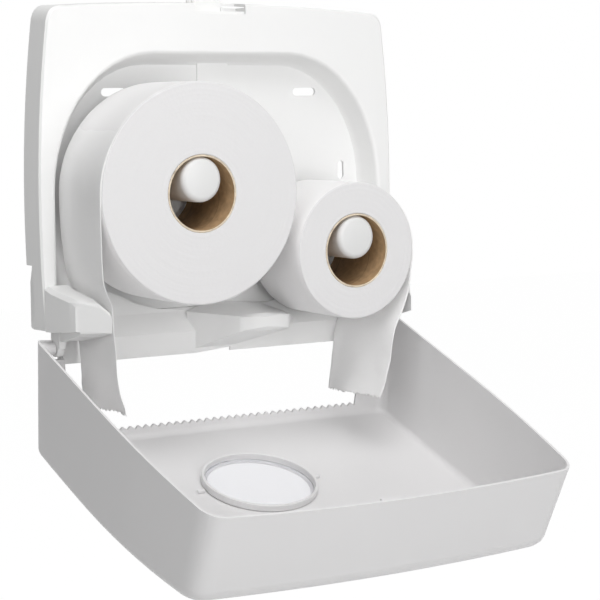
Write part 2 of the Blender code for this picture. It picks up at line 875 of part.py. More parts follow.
def build_roll(name, place, height, radius, carrier, paper, card):
    """A roll on its core, both round the roll's own axis."""
    hub = bpy.data.objects.new(name + "_axis", None)
    model.objects.link(hub)
    hub.parent = carrier
    hub.location = (place, -roll_back, height)
    hub.rotation_euler = (math.pi / 2, 0, 0)
    bore = core_outer_radius + touch_gap
    turned(name + "_roll", [
        (bore, roll_width), (radius - roll_edge_round, roll_width), (radius, roll_width - roll_edge_round),
        (radius, roll_edge_round), (radius - roll_edge_round, 0), (bore, 0),
    ], paper, hub)
    turned(name + "_core", [
        (core_outer_radius - core_wall, roll_width), (core_outer_radius, roll_width),
        (core_outer_radius, 0), (core_outer_radius - core_wall, 0),
    ], card, hub, steps=post_steps)
    return hub


def build_paper_guide(carrier, white):
    """The shell across the bottom, with its cradles and the nose that parts the two tails."""
    top = recess_low
    section = [
        (0, top), (-guide_brow_front, top), (-guide_crease_front, guide_crease_height),
        (-guide_skirt_front, 0), (-guide_skirt_front + guide_wall, 0),
        (-guide_crease_front + guide_wall, guide_crease_height - guide_wall / 8),
        (-plate_wall, top - guide_wall - plate_wall / 2), (-plate_wall, guide_back_low), (0, guide_back_low),
    ]
    half = guide_half_width
    guide = make_object("paper_guide", loft([
        [(-half, y, z) for y, z in section], [(half, y, z) for y, z in section],
    ]), white, carrier)
    for side in (-1, 1):
        near = side * (leg_inner - touch_gap)
        far = side * (half + overrun)
        cut(guide, make_cutter("guide_corner_%d" % side, box(
            (min(near, far), -guide_crease_front - overrun, plate_low - touch_gap),
            (max(near, far), overrun, top + overrun),
        ), carrier))
    high = arm_block_high
    for side in (-1, 1):
        brow = [
            (side * cradle_end * across_share, top - guide_wall + (high - top + guide_wall) * rise_share)
            for across_share, rise_share in cradle_top_shares
        ]
        outline = [(side * cradle_end * cradle_top_shares[0][0], cradle_low)] + brow
        outline.append((side * cradle_end, top + 2 * touch_gap))
        outline.append((side * (leg_inner - 2 * touch_gap), top + 2 * touch_gap))
        outline.append((side * (leg_inner - 2 * touch_gap), cradle_low))
        join(guide, make_cutter("cradle_%d" % side, prism(
            outline, -plate_wall - touch_gap, -plate_wall - touch_gap - cradle_thickness), carrier))
    join(guide, make_cutter("guide_nose", nose_shape(), carrier))
    notch = [
        (guide_notch_left, -overrun), (guide_notch_left, 0),
        (guide_notch_right, guide_notch_height), (guide_notch_right, -overrun),
    ]
    front = -guide_crease_front - overrun
    cut(guide, make_cutter("guide_notch", prism(notch, -guide_back_low / 2, front), carrier))
    return guide


def nose_shape():
    middle_x = nose_left + nose_length * nose_middle_shares[0]
    middle_z = nose_height * nose_middle_shares[1]
    rings = []
    for share in nose_depth_shares:
        narrow = nose_front_round if share == 1 else 0
        ring = []
        for (back_x, back_z), (front_x, front_z) in zip(nose_back_shares, nose_front_shares):
            x = nose_left + nose_length * (back_x + (front_x - back_x) * share)
            z = nose_height * (back_z + (front_z - back_z) * share)
            reach = max(abs(x - middle_x), abs(z - middle_z))
            x += (middle_x - x) / reach * narrow
            z += (middle_z - z) / reach * narrow
            ring.append((x, -nose_back - (nose_front - nose_back) * share, z))
        rings.append(ring)
    return loft(rings)


def build_arm(name, side, inner, carrier, white):
    """A guide arm that stands on the plate's band, and the hinge lug under it."""
    rings = []
    for reach, fall, step_rise, low_rise, draw in arm_section_shares:
        high = arm_root_high - arm_high_fall * fall
        step = arm_root_step + arm_step_rise * step_rise
        low = arm_root_low + arm_low_rise * low_rise
        outer = arm_outer - arm_outer_draw * draw
        outline = [
            (inner, low), (arm_step_place, low), (arm_step_place, step), (outer, step),
            (outer, high - arm_top_chamfer), (outer - arm_top_chamfer, high),
            (inner + arm_inner_chamfer_width, high), (inner, high - arm_inner_chamfer_height),
        ]
        ring = []
        for x, z in outline:
            inward = (outer - x) / (outer - inner)
            length = arm_outer_length + (arm_inner_length - arm_outer_length) * inward
            ring.append((side * x, -plate_depth - touch_gap - length * reach, z))
        rings.append(ring)
    arm = make_object(name, loft(rings), white, carrier)
    block = sorted((side * inner, side * (recess_half_width - recess_lean - 2 * touch_gap)))
    join(arm, make_cutter(name + "_block", box(
        (block[0], -hinge_stem_front, arm_block_low),
        (block[1], -plate_wall - touch_gap, arm_block_high),
    ), carrier))
    span = sorted((side * lug_inner, side * lug_outer))
    join(arm, make_cutter(name + "_stem", box(
        (span[0], -hinge_stem_front, hinge_height), (span[1], -hinge_stem_back, plate_low - touch_gap),
    ), carrier))
    join(arm, make_cutter(name + "_lug", rod(
        (span[0], -hinge_forward, hinge_height), (span[1], -hinge_forward, hinge_height), hinge_lug_radius,
    ), carrier))
    cut(arm, make_cutter(name + "_bore", rod(
        (span[0] - overrun, -hinge_forward, hinge_height),
        (span[1] + overrun, -hinge_forward, hinge_height), pin_radius + pin_play,
    ), carrier))
    return arm


def tail_path(start, side, top, end, drift, shares):
    """Heights and the places of the back and front edges, drifting in from the roll's side."""
    path = []
    for down, back, front in shares:
        upper = min(down, 1)
        height = top + (tail_turn_height - top) * upper + (end - tail_turn_height) * (down - upper)
        path.append((height, start - side * drift * back, start - side * drift * front))
    return path


def build_tail(name, path, rows_per_step, tear_seed, carrier, paper):
    """A hanging sheet: each row of the path gives a height and the sheet's back and front edges."""
    back = -roll_back - tail_side_gap
    front = -roll_back - roll_width + tail_side_gap
    rows = []
    for (first_z, first_back, first_front), (next_z, next_back, next_front) in zip(path, path[1:]):
        for step in range(rows_per_step):
            share = step / rows_per_step
            rows.append((
                first_z + (next_z - first_z) * share, first_back + (next_back - first_back) * share,
                first_front + (next_front - first_front) * share,
            ))
    rows.append(path[-1])
    shape = bmesh.new()
    grid = []
    for row, (height, back_x, front_x) in enumerate(rows):
        free_share = max((row - rows_per_step * 6) / (len(rows) - rows_per_step * 6), 0)
        line = []
        for column in range(tail_columns + 1):
            across = column / tail_columns
            fold = tail_fold_depth * math.sin(3 * math.pi * across) * free_share
            tear = 0
            if row == len(rows) - 1:
                tear = tail_tear_depth * math.sin(tear_seed * (column + 1) ** 2)
            x = back_x + (front_x - back_x) * across + fold
            line.append(shape.verts.new((x, back + (front - back) * across, height + tear)))
        grid.append(line)
    for upper, lower in zip(grid, grid[1:]):
        for column in range(tail_columns):
            shape.faces.new((upper[column], upper[column + 1], lower[column + 1], lower[column]))
    tail = make_object(name, shape, paper, carrier)
    skin = tail.modifiers.new("ply", "SOLIDIFY")
    skin.thickness = tail_thickness
    skin.offset = 0
    return tail


def build_screws(name, places, length, carrier, steel):
    """Equal pan-head screws, one object each; a place's +Z leaves the head's underside."""
    profile = [
        (0, screw_head_height), (screw_head_radius / 2, screw_head_height),
        (screw_head_radius, screw_head_height / 2), (screw_head_radius, 0), (screw_shank_radius, 0),
        (screw_shank_radius, -length), (0, -length),
    ]
    first = None
    for index, place in enumerate(places):
        title = "%s_%d" % (name, index + 1)
        if first is None:
            first = turned(title, profile, steel, carrier, steps=screw_steps, close=False)
            screw = first
        else:
            screw = first.copy()
            screw.name = title
            model.objects.link(screw)
        screw.matrix_local = place


def build_pin(name, side, carrier, steel):
    start = side * (lug_inner - pin_reach)
    end = side * (ear_inner + pin_reach)
    hinge = (-hinge_forward, hinge_height)
    return make_object(name, rod((start, *hinge), (end, *hinge), pin_radius), steel, carrier)


def main():
    clear_scene()
    white = plastic("white_plastic", (0.86, 0.86, 0.85), 0.35)
    grey = plastic("latch_plastic", (0.80, 0.80, 0.79), 0.40)
    clear = plastic("window_plastic", (0.90, 0.90, 0.90), 0.15)
    steel = plastic("steel", (0.55, 0.55, 0.56), 0.30, 1.0)
    paper = plastic("tissue", (0.88, 0.87, 0.86), 0.95)
    card = plastic("core_card", (0.42, 0.27, 0.14), 0.85)

    base = bpy.data.objects.new("wall_face_middle", None)
    model.objects.link(base)
    base.location = (0, 0, -wall_face_height)

    plate = build_back_plate(base, white)
    guide = build_paper_guide(base, white)

    hinge = bpy.data.objects.new("cover_hinge", None)
    model.objects.link(hinge)
    hinge.parent = base
    hinge.location = (0, -hinge_forward, hinge_height)
    hinge.rotation_euler = (cover_opening, 0, 0)
    shut = bpy.data.objects.new("cover_shut_frame", None)
    model.objects.link(shut)
    shut.parent = hinge
    shut.location = (0, hinge_forward, -hinge_height)
    build_cover(shut, white, clear)
    build_latch(base, white, grey, steel)

    bore = core_outer_radius - core_wall
    screw_places = []
    for name, place, height in (
        ("left", left_roll_place, left_roll_height), ("right", right_roll_place, right_roll_height),
    ):
        post_height = height + bore - post_radius - touch_gap
        post, hub, screws = build_post(name + "_post", place, post_height, base, white, steel)
        for across, up in screws:
            spot = Matrix.Translation((
                place + across, -plate_wall - touch_gap - post_flange_thickness - touch_gap,
                post_height + up,
            ))
            screw_places.append(spot @ Matrix.Rotation(math.pi / 2, 4, "X"))
            hole = rod(
                (place + across, overrun, post_height + up),
                (place + across, -plate_wall - post_flange_thickness - screw_head_height, post_height + up),
                screw_hole_radius, screw_steps,
            )
            cutter = make_cutter("post_screw_hole", hole, base)
            cut(plate, cutter)
            cut(post, cutter)
    length = plate_wall + post_flange_thickness + 2 * touch_gap - screw_tip_gap
    build_screws("post_screw", screw_places, length, base, steel)
    build_roll("left", left_roll_place, left_roll_height, left_roll_radius, base, paper, card)
    build_roll("right", right_roll_place, right_roll_height, right_roll_radius, base, paper, card)

    arm_screws = []
    guide_screws = []
    for name, side, inner in (("left", -1, left_arm_inner), ("right", 1, right_arm_inner)):
        arm = build_arm(name + "_guide_arm", side, inner, base, white)
        build_pin(name + "_hinge_pin", side, base, steel)
        for across, height in arm_screw_places:
            spot = Matrix.Translation((side * across, -plate_depth + plate_wall + touch_gap, height))
            arm_screws.append(spot @ Matrix.Rotation(-math.pi / 2, 4, "X"))
            cutter = make_cutter("arm_screw_hole", rod(
                (side * across, -plate_depth + plate_wall + screw_head_height, height),
                (side * across, -plate_depth - overrun, height), screw_hole_radius, screw_steps,
            ), base)
            cut(plate, cutter)
            cut(arm, cutter)
        spot = Matrix.Translation((
            side * guide_screw_place, -plate_wall - cradle_thickness - 2 * touch_gap, guide_screw_height,
        ))
        guide_screws.append(spot @ Matrix.Rotation(math.pi / 2, 4, "X"))
        front = -plate_wall - cradle_thickness - screw_head_height
        cutter = make_cutter("guide_screw_hole", rod(
            (side * guide_screw_place, overrun, guide_screw_height),
            (side * guide_screw_place, front, guide_screw_height), screw_hole_radius, screw_steps,
        ), base)
        cut(plate, cutter)
        cut(guide, cutter)
    build_screws("arm_screw", arm_screws, plate_wall + overrun / 2, base, steel)
    length = plate_wall + cradle_thickness + 2 * touch_gap - screw_tip_gap
    build_screws("guide_screw", guide_screws, length, base, steel)

    start = left_roll_place - left_roll_radius - tail_roll_gap
    path = tail_path(start, -1, left_roll_height, left_tail_end, left_tail_drift, left_tail_shares)
    build_tail("left_tail", path, 2, 1.7, base, paper)
    start = right_roll_place + right_roll_radius + tail_roll_gap
    path = tail_path(start, 1, right_roll_height, right_tail_end, right_tail_drift, right_tail_shares)
    build_tail("right_tail", path, 2, 2.3, base, paper)


main()
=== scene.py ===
# %% [markdown]
# # A wall dispenser for two toilet rolls, standing open
#
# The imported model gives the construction: a white back plate, two posts with a roll on each,
# a guide under them and a deep cover that has swung down on its pins. This lesson dresses
# that model. Each white moulding is copied, its edges are softened and it gets a satin
# plastic. The rolls, cores and hanging paper are modelled again, because wound tissue and
# soft sheets are more than plain solids.

# %% Load the fixed frame
import math
import random

import bmesh
import bpy
from mathutils import Matrix, Vector, noise


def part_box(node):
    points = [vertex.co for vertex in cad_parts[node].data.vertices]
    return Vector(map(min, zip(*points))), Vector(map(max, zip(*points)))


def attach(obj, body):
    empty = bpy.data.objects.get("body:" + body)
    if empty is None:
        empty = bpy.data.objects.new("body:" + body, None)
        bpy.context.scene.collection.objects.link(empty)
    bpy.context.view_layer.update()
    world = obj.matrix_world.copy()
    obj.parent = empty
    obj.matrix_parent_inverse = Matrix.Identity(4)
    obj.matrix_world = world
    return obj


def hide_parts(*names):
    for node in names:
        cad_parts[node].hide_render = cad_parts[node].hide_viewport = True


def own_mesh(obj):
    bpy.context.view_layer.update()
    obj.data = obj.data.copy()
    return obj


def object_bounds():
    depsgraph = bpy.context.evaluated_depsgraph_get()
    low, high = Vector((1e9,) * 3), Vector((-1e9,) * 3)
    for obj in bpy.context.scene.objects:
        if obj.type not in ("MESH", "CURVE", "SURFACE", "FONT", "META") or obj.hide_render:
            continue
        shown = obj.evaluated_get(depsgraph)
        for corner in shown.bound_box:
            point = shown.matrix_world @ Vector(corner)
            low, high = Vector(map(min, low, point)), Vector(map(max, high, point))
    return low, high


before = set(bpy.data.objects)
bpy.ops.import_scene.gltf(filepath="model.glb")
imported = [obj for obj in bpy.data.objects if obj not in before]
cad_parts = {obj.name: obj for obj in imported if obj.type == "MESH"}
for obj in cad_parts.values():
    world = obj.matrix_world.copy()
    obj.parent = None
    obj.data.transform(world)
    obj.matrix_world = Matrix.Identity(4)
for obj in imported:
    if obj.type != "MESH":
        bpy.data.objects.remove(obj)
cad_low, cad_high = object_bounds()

print("model, metres:", [round(high - low, 4) for low, high in zip(cad_low, cad_high)])

# %% [markdown]
# ## The camera
#
# The photograph was taken from the left and a little above, with a long lens, so upright
# edges stay almost parallel. A lens is described by its focal length against a sensor
# 36 mm wide. The place and the three angles were worked out from the plate's corners.

# %% Stand the camera at the photograph's viewpoint
camera_place = Vector((-1.03815, -1.80912, 0.07778))
camera_yaw = 0.567
camera_pitch = 0.102
camera_roll = -0.007
lens_length = 114.1
sensor_width = 36.0

forward = Vector((
    math.sin(camera_yaw) * math.cos(camera_pitch),
    math.cos(camera_yaw) * math.cos(camera_pitch),
    -math.sin(camera_pitch),
))
level_right = Vector((math.cos(camera_yaw), -math.sin(camera_yaw), 0))
level_up = level_right.cross(forward)
right = level_right * math.cos(camera_roll) + level_up * math.sin(camera_roll)
upward = level_up * math.cos(camera_roll) - level_right * math.sin(camera_roll)

lens = bpy.data.cameras.new("studio_camera")
lens.lens = lens_length
lens.sensor_width = sensor_width
camera = bpy.data.objects.new("studio_camera", lens)
bpy.context.scene.collection.objects.link(camera)
turn = Matrix((right, upward, -forward)).transposed().to_4x4()
camera.matrix_world = Matrix.Translation(camera_place) @ turn
bpy.context.scene.camera = camera
print("camera distance, metres:", round(camera_place.length, 3))

# %% [markdown]
# ## Light and background
#
# White plastic on white shows its form only through soft shading. The photograph was lit
# from the front and from high above, so faces that look at the reader are the lightest and
# the sides fall to a mid grey. A broad low lamp in front does that, a weaker one stands to
# the left, a high one lights the tray's floor, and the world fills the rest evenly. To find
# their strengths, each lamp was rendered alone: light adds up, so the shares of a mixture
# can be compared with the photograph before anything is rendered again. The background has to
# be pure white without flooding the object with light, so only rays from the camera,
# mirrors and glass see it as white. Two helpers make that split for the world and the floor.


# %% Tell the rays that look from the rays that light
def looking_ray(tree):
    """A socket that is 1 for a camera, mirror or glass ray and 0 for one that carries light."""
    path = tree.nodes.new("ShaderNodeLightPath")
    found = path.outputs["Is Camera Ray"]
    for kind in ("Is Glossy Ray", "Is Transmission Ray"):
        either = tree.nodes.new("ShaderNodeMath")
        either.operation = "MAXIMUM"
        tree.links.new(found, either.inputs[0])
        tree.links.new(path.outputs[kind], either.inputs[1])
        found = either.outputs[0]
    return found


def split_by_ray(tree, share_seen, lit, seen, output_kind):
    """Give light rays one shader and looking rays another, and send the mixture on."""
    mix = tree.nodes.new("ShaderNodeMixShader")
    tree.links.new(share_seen, mix.inputs["Fac"])
    tree.links.new(lit.outputs[0], mix.inputs[1])
    tree.links.new(seen.outputs[0], mix.inputs[2])
    out = tree.nodes.new(output_kind)
    tree.links.new(mix.outputs[0], out.inputs["Surface"])


# %% Fill the studio with even light
view = bpy.context.scene.view_settings
view.view_transform = "Standard"

fill_strength = 0.13
world = bpy.data.worlds.new("studio_world")
bpy.context.scene.world = world
world.use_nodes = True
tree = world.node_tree
tree.nodes.clear()
fill = tree.nodes.new("ShaderNodeBackground")
fill.inputs["Color"].default_value = (1, 1, 1, 1)
fill.inputs["Strength"].default_value = fill_strength
white = tree.nodes.new("ShaderNodeBackground")
white.inputs["Color"].default_value = (1, 1, 1, 1)
split_by_ray(tree, looking_ray(tree), fill, white, "ShaderNodeOutputWorld")
print("fill strength:", fill_strength)

# %% Hang the three lamps
# Each lamp: its name, how far it is turned to the right, how high it stands and its watts.
lamps = (
    ("front_lamp", 5, 5, 21.6),
    ("left_lamp", -50, 15, 13.2),
    ("high_lamp", -10, 60, 34.4),
)
lamp_distance = 2.4
lamp_size = 1.7


def hang_lamp(name, turn_degrees, rise_degrees, watts):
    turn, rise = math.radians(turn_degrees), math.radians(rise_degrees)
    direction = Vector((
        math.sin(turn) * math.cos(rise), -math.cos(turn) * math.cos(rise), math.sin(rise),
    ))
    lamp = bpy.data.lights.new(name, "AREA")
    lamp.shape = "DISK"
    lamp.size = lamp_size
    lamp.energy = watts
    item = bpy.data.objects.new(name, lamp)
    bpy.context.scene.collection.objects.link(item)
    item.location = direction * lamp_distance
    item.rotation_euler = (-direction).to_track_quat("-Z", "Y").to_euler()
    print(name, "stands at", [round(value, 2) for value in item.location])


for settings in lamps:
    hang_lamp(*settings)

# %% [markdown]
# ## Floor
#
# The dispenser hangs on a wall, so the floor lies well below it. It is white to the camera
# and still takes a faint shadow from the lamps. Like every new piece below, it is shaped as
# a bmesh first and then becomes an object at the origin, with its place in its mesh.


# %% Lay the pale floor
def new_piece(name, shape):
    """Put a finished bmesh into the scene as an object."""
    mesh = bpy.data.meshes.new(name)
    shape.to_mesh(mesh)
    shape.free()
    piece = bpy.data.objects.new(name, mesh)
    bpy.context.scene.collection.objects.link(piece)
    return piece


floor_drop = 0.45
floor_reach = 6.0
floor_height = cad_low[2] - floor_drop

slab = bmesh.new()
bmesh.ops.create_grid(slab, x_segments=2, y_segments=2, size=floor_reach)
bmesh.ops.translate(slab, vec=(0, 0, floor_height), verts=slab.verts)
floor = new_piece("pale_floor", slab)
print("floor height:", round(floor_height, 3))

# %% Paint the floor
floor_tone = 0.8
floor_glow = 1.05
floor_shade_share = 0.06

paint = bpy.data.materials.new("pale_floor")
paint.use_nodes = True
tree = paint.node_tree
tree.nodes.clear()
matt = tree.nodes.new("ShaderNodeBsdfDiffuse")
matt.inputs["Color"].default_value = (floor_tone, floor_tone, floor_tone, 1)
glow = tree.nodes.new("ShaderNodeEmission")
glow.inputs["Strength"].default_value = floor_glow
amount = tree.nodes.new("ShaderNodeMath")
amount.operation = "MULTIPLY"
amount.inputs[1].default_value = 1 - floor_shade_share
tree.links.new(looking_ray(tree), amount.inputs[0])
split_by_ray(tree, amount.outputs[0], matt, glow, "ShaderNodeOutputMaterial")
floor.data.materials.append(paint)
print("share of the floor that takes shadow:", floor_shade_share)

# %% [markdown]
# ## Patterns that every finish shares
#
# No real surface is one even colour. Each finish below is built from the same few moves: a
# noise, a tone or a number that follows it, and a height that tips the surface. Written once
# as helpers, they leave each finish to say only what is its own. A noise could be read from
# an unwrapped map, but these pieces are plain, so it is read at their own Object coordinates
# and stays in place on them when a body turns.


# %% Start a material and read a noise on it
def fresh_material(name):
    """A new material, its node tree, its shader and the places that its patterns read."""
    material = bpy.data.materials.new(name)
    material.use_nodes = True
    tree = material.node_tree
    place = tree.nodes.new("ShaderNodeTexCoord")
    return material, tree, tree.nodes["Principled BSDF"], place.outputs["Object"]


def noise_at(tree, place, scale, detail=2.0):
    """A noise with a given number of waves to the metre."""
    cloud = tree.nodes.new("ShaderNodeTexNoise")
    cloud.inputs["Scale"].default_value = scale
    cloud.inputs["Detail"].default_value = detail
    tree.links.new(place, cloud.inputs["Vector"])
    return cloud.outputs["Fac"]


# %% Let a tone, a number or a height follow a noise
def tone_between(tree, factor, dark, light, ends=(0.0, 1.0)):
    """A colour that turns from dark to light while the factor goes from one end to the other."""
    ramp = tree.nodes.new("ShaderNodeValToRGB")
    first, last = ramp.color_ramp.elements
    first.position, last.position = ends
    first.color = (*dark, 1)
    last.color = (*light, 1)
    tree.links.new(factor, ramp.inputs["Fac"])
    return ramp.outputs["Color"]


def number_between(tree, factor, low, high):
    """A number that goes from low to high with the factor."""
    spread = tree.nodes.new("ShaderNodeMapRange")
    spread.inputs["To Min"].default_value = low
    spread.inputs["To Max"].default_value = high
    tree.links.new(factor, spread.inputs["Value"])
    return spread.outputs["Result"]


def tip_surface(tree, shader, height, strength, depth):
    """Shade the surface as if the height stood on it, up to a depth in metres."""
    bump = tree.nodes.new("ShaderNodeBump")
    bump.inputs["Strength"].default_value = strength
    bump.inputs["Distance"].default_value = depth
    tree.links.new(height, bump.inputs["Height"])
    tree.links.new(bump.outputs["Normal"], shader.inputs["Normal"])


def shaded(colour, share):
    return tuple(value * share for value in colour)


# %% [markdown]
# ## Satin plastic
#
# The mouldings are white ABS with a fine spark-eroded texture: satin, never mirror bright.
# Two noises give it life. A very fine one tips the surface by a few hundredths of a
# millimetre, and a broad one shifts gloss and shade by a hair, as handling and flow do.

# %% Mix the white plastics
plastic_sparkle = 0.45
handling_waves = 9.0
handling_detail = 3.0
handling_ends = (0.3, 0.7)
handling_shade = 0.985
gloss_below = 0.04
gloss_above = 0.05
grain_waves = 1400.0
grain_strength = 0.35
grain_depth = 0.00003


def satin_plastic(name, colour, roughness):
    material, tree, shader, place = fresh_material(name)
    shader.inputs["Specular IOR Level"].default_value = plastic_sparkle
    handling = noise_at(tree, place, handling_waves, handling_detail)
    tone = tone_between(tree, handling, shaded(colour, handling_shade), colour, handling_ends)
    tree.links.new(tone, shader.inputs["Base Color"])
    gloss = number_between(tree, handling, roughness - gloss_below, roughness + gloss_above)
    tree.links.new(gloss, shader.inputs["Roughness"])
    tip_surface(tree, shader, noise_at(tree, place, grain_waves), grain_strength, grain_depth)
    return material


plate_white = satin_plastic("plate_white", (0.86, 0.86, 0.855), 0.38)
cover_white = satin_plastic("cover_white", (0.78, 0.773, 0.775), 0.34)
post_white = satin_plastic("post_white", (0.745, 0.745, 0.74), 0.30)
lock_white = satin_plastic("lock_white", (0.88, 0.88, 0.87), 0.36)
print("plastics:", [item.name for item in (plate_white, cover_white, post_white, lock_white)])

# %% [markdown]
# ## Dressing a moulding
#
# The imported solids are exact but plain: loose triangles with knife edges. Real mouldings have
# edges of half a millimetre or more, which catch a thin line of light. Each white piece is
# therefore a copy of its solid, and a Bevel modifier rounds what is sharp. A bevel folds over
# itself where a face is thinner than the round, so the copy is cleaned first: doubles and
# crumbs are merged, slivers are joined to their neighbours, and flat areas are dissolved back
# to clean faces. Smooth shading hides the facets, and a Weighted Normal modifier keeps the
# large flats evenly lit right up to their rounded edges.

# %% Clean the copy of a solid
merge_distance = 0.00001
crumb_length = 0.00008
sliver_width = 0.00015


def longest_side(face):
    return max(face.edges, key=lambda side: side.calc_length())


def cleaned_copy(node, flat_degrees):
    """A bmesh of the solid with its small faults joined, and how many slivers it had."""
    shape = bmesh.new()
    shape.from_mesh(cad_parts[node].data)
    bmesh.ops.remove_doubles(shape, verts=shape.verts, dist=merge_distance)
    bmesh.ops.dissolve_degenerate(shape, dist=crumb_length, edges=shape.edges)
    slivers = [
        face for face in shape.faces
        if face.calc_area() < sliver_width * longest_side(face).calc_length()
    ]
    long_sides = list(dict.fromkeys(longest_side(face) for face in slivers))
    bmesh.ops.dissolve_edges(shape, edges=long_sides, use_verts=False)
    bmesh.ops.dissolve_limit(
        shape, angle_limit=math.radians(flat_degrees), verts=shape.verts, edges=shape.edges,
        delimit={"SEAM"},
    )
    return shape, len(slivers)


# %% Copy a solid and soften its edges
sharp_angle = math.radians(32)
rounding_steps = 2
flat_degrees_for_most = 0.5


def soften_edges(piece, width):
    rounding = piece.modifiers.new("edges", "BEVEL")
    rounding.width = width
    rounding.segments = rounding_steps
    rounding.limit_method = "ANGLE"
    rounding.angle_limit = sharp_angle
    rounding.use_clamp_overlap = True
    rounding.harden_normals = True
    shading = piece.modifiers.new("even_shading", "WEIGHTED_NORMAL")
    shading.keep_sharp = True


def softened_copy(node, body, material, edge=0, flat_degrees=flat_degrees_for_most):
    """Dress a node with a copy of its solid, whose edges are rounded by edge metres."""
    shape, sliver_count = cleaned_copy(node, flat_degrees)
    piece = new_piece(node + "_moulding", shape)
    mesh = piece.data
    mesh.shade_smooth()
    mesh.set_sharp_from_angle(angle=sharp_angle)
    mesh.materials.append(material)
    if edge:
        soften_edges(piece, edge)
    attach(piece, body)
    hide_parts(node)
    print(piece.name, "faces:", len(mesh.polygons), "slivers joined:", sliver_count)
    return piece


# %% [markdown]
# ## The white mouldings
#
# The guide and its arms are handled at every refill and are the roundest. The plate and the
# cover are large thin shells with a smaller round, and the lock's parts are small and crisp.
# The posts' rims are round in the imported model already, so their copies get no bevel.

# %% Dress the back plate, the guide and its arms
plate_round = 0.0007
guide_round = 0.0012

softened_copy("back_plate", "root", plate_white, edge=plate_round)
softened_copy("paper_guide", "root", plate_white, edge=guide_round)
for node in ("left_guide_arm", "right_guide_arm"):
    softened_copy(node, "root", plate_white, edge=guide_round)

# %% Dress the posts and the lock
housing_round = 0.0003
latch_round = 0.0005

for node in ("left_post", "right_post"):
    softened_copy(node, "root", post_white)
softened_copy("latch_housing", "root", plate_white, edge=housing_round)
softened_copy("latch", "latch_body", lock_white, edge=latch_round)

# %% Dress the cover
# The front is slightly bowed, so only faces that are truly flat together may merge there.
cover_round = 0.0007
ring_round = 0.0006
flat_degrees_on_bow = 0.03

softened_copy(
    "cover_shell", "cover", cover_white,
    edge=cover_round, flat_degrees=flat_degrees_on_bow,
)
softened_copy("window_ring", "cover", cover_white, edge=ring_round)

# %% [markdown]
# ## The window
#
# The window is a clear disc that has been in use for a while: light passes, but fine
# scratches scatter it. Transmission in the Principled shader does the first and a little
# roughness the second.

# %% Glaze the window
scratch_waves = 60.0
scratch_detail = 6.0
blur_low = 0.10
blur_high = 0.22

glazing, tree, shader, place = fresh_material("window_clear")
shader.inputs["Base Color"].default_value = (0.89, 0.89, 0.91, 1)
shader.inputs["Transmission Weight"].default_value = 0.85
shader.inputs["IOR"].default_value = 1.2
scratches = noise_at(tree, place, scratch_waves, scratch_detail)
tree.links.new(number_between(tree, scratches, blur_low, blur_high), shader.inputs["Roughness"])
softened_copy("window_pane", "cover", glazing)

# %% [markdown]
# ## Window clips
#
# Two small hooks on the cover's inner face hold the window's ring, one on each side of it.
# They stand on the line through the ring's widest points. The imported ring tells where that
# is: its outermost points lie in a short row, which also points away from the cover's face.
# Each hook is a cube, scaled, with its inner top edge pulled towards the ring.

# %% Mould a clip beside the ring
clip_length = 0.0070
clip_width = 0.0050
clip_height = 0.0036
clip_distance = 0.0075
clip_lean_share = 0.25
ring_lift = 0.0010
ring_tolerance = 0.0002

ring_points = [vertex.co.copy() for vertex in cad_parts["window_ring"].data.vertices]


def mould_clip(clips, side):
    reach = max(side * point.x for point in ring_points)
    widest = [point for point in ring_points if side * point.x > reach - ring_tolerance]
    widest.sort(key=lambda point: point.z)
    away = (widest[-1] - widest[0]).normalized()
    foot = widest[0] - away * ring_lift + Vector((side * clip_distance, 0, 0))
    block = bmesh.ops.create_cube(clips, size=1)["verts"]
    bmesh.ops.scale(clips, vec=(clip_length, clip_width, clip_height), verts=block)
    bmesh.ops.translate(clips, vec=(0, 0, clip_height / 2), verts=block)
    inner_top = [
        corner for corner in block if corner.co.z > clip_height / 2 and side * corner.co.x < 0
    ]
    bmesh.ops.translate(clips, vec=(-side * clip_length * clip_lean_share, 0, 0), verts=inner_top)
    turn = Vector((0, 0, 1)).rotation_difference(away).to_matrix().to_4x4()
    bmesh.ops.transform(clips, matrix=Matrix.Translation(foot) @ turn, verts=block)


# %% Set the two clips on the cover
clip_round = 0.0009

clips = bmesh.new()
for side in (-1, 1):
    mould_clip(clips, side)
bmesh.ops.bevel(
    clips, geom=clips.edges[:], offset=clip_round, affect="EDGES",
    segments=rounding_steps, profile=0.5, material=-1,
)
window_clips = new_piece("window_clips", clips)
window_clips.data.shade_smooth()
window_clips.data.materials.append(cover_white)
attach(window_clips, "cover")
print("clip faces:", len(window_clips.data.polygons))

# %% [markdown]
# ## Steel
#
# Screws, pins and the latch spring are plain zinc-plated steel. They are small, so one metal
# serves all of them, with a fine noise in its gloss and its tone, and the screws and pins
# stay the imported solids.

# %% Finish the screws, pins and spring
plating_waves = 900.0
plating_gloss_low = 0.22
plating_gloss_high = 0.42

steel, tree, shader, place = fresh_material("plated_steel")
shader.inputs["Metallic"].default_value = 1.0
plating = noise_at(tree, place, plating_waves)
shine = number_between(tree, plating, plating_gloss_low, plating_gloss_high)
tree.links.new(shine, shader.inputs["Roughness"])
tone = tone_between(tree, plating, (0.50, 0.50, 0.50), (0.62, 0.62, 0.61))
tree.links.new(tone, shader.inputs["Base Color"])
steel_nodes = [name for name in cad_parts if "screw" in name or "pin" in name or "spring" in name]
for name in steel_nodes:
    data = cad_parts[name].data
    data.materials.clear()
    data.materials.append(steel)
print("steel pieces:", len(steel_nodes))
